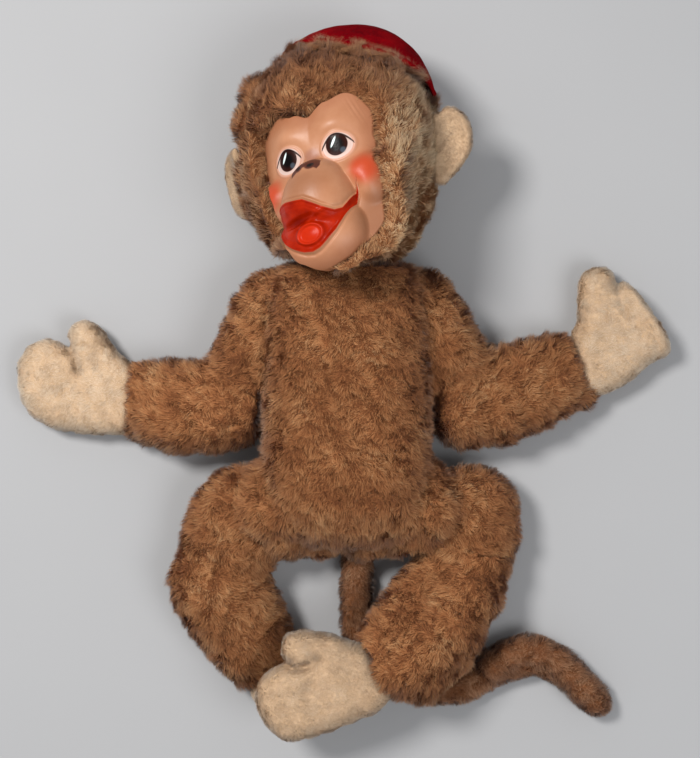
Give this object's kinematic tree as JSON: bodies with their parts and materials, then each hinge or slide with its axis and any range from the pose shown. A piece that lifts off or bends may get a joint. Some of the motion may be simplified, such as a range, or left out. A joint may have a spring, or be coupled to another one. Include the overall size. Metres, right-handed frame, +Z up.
{
  "type": "stuffed plush monkey doll",
  "caption": "Stuffed plush monkey with a moulded vinyl face, felt cap, felt hands and feet and a long tail, lying on its back with its feet crossed",
  "frame": {"origin": "centre of the outline on the table that the toy lies on", "axes": "Y from the feet to the head, X to the toy's own left, Z up from its back to its front"},
  "size_m": [0.4006, 0.4192, 0.1224],
  "materials": {
    "plush": "brown woolly pile",
    "felt": "short brushed cream pile",
    "red_felt": "matte red felt",
    "wadding": "loose filling",
    "vinyl": "painted soft vinyl, satin"
  },
  "bodies": {
    "torso": {"torso_front": "plush", "torso_back": "plush", "torso_stuffing": "wadding", "tail_root": "plush"},
    "head": {"hood": "plush", "head_stuffing": "wadding", "face_mask": "vinyl", "cap": "red_felt"},
    "left_ear": {"ear_left": "felt"},
    "right_ear": {"ear_right": "felt"},
    "left_upper_arm": {"arm_upper_left": "plush", "arm_upper_left_stuffing": "wadding"},
    "left_forearm": {"forearm_left": "plush", "forearm_left_stuffing": "wadding"},
    "left_hand": {"hand_left": "felt"},
    "right_upper_arm": {"arm_upper_right": "plush", "arm_upper_right_stuffing": "wadding"},
    "right_forearm": {"forearm_right": "plush", "forearm_right_stuffing": "wadding"},
    "right_hand": {"hand_right": "felt"},
    "left_thigh": {"thigh_left": "plush", "thigh_left_stuffing": "wadding"},
    "left_shin": {"shin_left": "plush", "shin_left_stuffing": "wadding"},
    "left_foot": {"foot_left": "felt"},
    "right_thigh": {"thigh_right": "plush", "thigh_right_stuffing": "wadding"},
    "right_shin": {"shin_right": "plush", "shin_right_stuffing": "wadding"},
    "right_foot": {"foot_right": "felt"},
    "tail_second": {"tail_middle": "plush"},
    "tail_third": {"tail_tip": "plush"}
  },
  "joints": [
    {"name": "neck_turn", "type": "hinge", "parent": "torso", "child": "head", "pos_m": [0.00111, 0.07062, 0.046], "axis": [0, 1, 0], "range_deg": [-30, 30]},
    {"name": "ear_fold_left", "type": "hinge", "parent": "head", "child": "left_ear", "pos_m": [0.05748, 0.13777, 0.06377], "axis": [-0.225, 0.9744, 0], "range_deg": [-15, 15]},
    {"name": "ear_fold_right", "type": "hinge", "parent": "head", "child": "right_ear", "pos_m": [-0.06052, 0.1187, 0.03411], "axis": [-0.225, 0.9744, 0], "range_deg": [-6, 15]},
    {"name": "shoulder_left", "type": "hinge", "parent": "torso", "child": "left_upper_arm", "pos_m": [0.05511, 0.02662, 0.0255], "axis": [-1, 0, 0], "range_deg": [0, 70]},
    {"name": "elbow_left", "type": "hinge", "parent": "left_upper_arm", "child": "left_forearm", "pos_m": [0.08097, -0.00898, 0.02], "axis": [0, 0, 1], "range_deg": [-38, 8]},
    {"name": "wrist_left", "type": "hinge", "parent": "left_forearm", "child": "left_hand", "pos_m": [0.14887, 0.01178, 0.012], "axis": [0, 0, 1], "range_deg": [-25, 10]},
    {"name": "shoulder_right", "type": "hinge", "parent": "torso", "child": "right_upper_arm", "pos_m": [-0.05289, 0.02662, 0.0255], "axis": [-1, 0, 0], "range_deg": [0, 70]},
    {"name": "elbow_right", "type": "hinge", "parent": "right_upper_arm", "child": "right_forearm", "pos_m": [-0.06866, -0.01446, 0.02], "axis": [0, 0, 1], "range_deg": [-8, 35]},
    {"name": "wrist_right", "type": "hinge", "parent": "right_forearm", "child": "right_hand", "pos_m": [-0.13949, -0.00951, 0.012], "axis": [0, 0, 1], "range_deg": [-25, 25]},
    {"name": "hip_left", "type": "hinge", "parent": "torso", "child": "left_thigh", "pos_m": [0.07561, -0.07938, 0.022], "axis": [0, 0, 1], "range_deg": [0, 25]},
    {"name": "knee_left", "type": "hinge", "parent": "left_thigh", "child": "left_shin", "pos_m": [0.06814, -0.12173, 0.0205], "axis": [0, 0, 1], "range_deg": [0, 35]},
    {"name": "ankle_left", "type": "hinge", "parent": "left_shin", "child": "left_foot", "pos_m": [0.01035, -0.17109, 0.0485], "axis": [0, 0, 1], "range_deg": [0, 25]},
    {"name": "hip_right", "type": "hinge", "parent": "torso", "child": "right_thigh", "pos_m": [-0.06239, -0.07938, 0.022], "axis": [0, 0, -1], "range_deg": [0, 25]},
    {"name": "knee_right", "type": "hinge", "parent": "right_thigh", "child": "right_shin", "pos_m": [-0.0778, -0.11953, 0.0205], "axis": [0, 0, -1], "range_deg": [0, 35]},
    {"name": "ankle_right", "type": "hinge", "parent": "right_shin", "child": "right_foot", "pos_m": [-0.0398, -0.18534, 0.0133], "axis": [0, 0, -1], "range_deg": [0, 25]},
    {"name": "tail_bend", "type": "hinge", "parent": "torso", "child": "tail_second", "pos_m": [0.00651, -0.14877, 0.0083], "axis": [0, 0, -1], "range_deg": [-4, 10]},
    {"name": "tail_tip_bend", "type": "hinge", "parent": "tail_second", "child": "tail_third", "pos_m": [0.07188, -0.18594, 0.0083], "axis": [0, 0, -1], "range_deg": [-25, 25]}
  ]
}
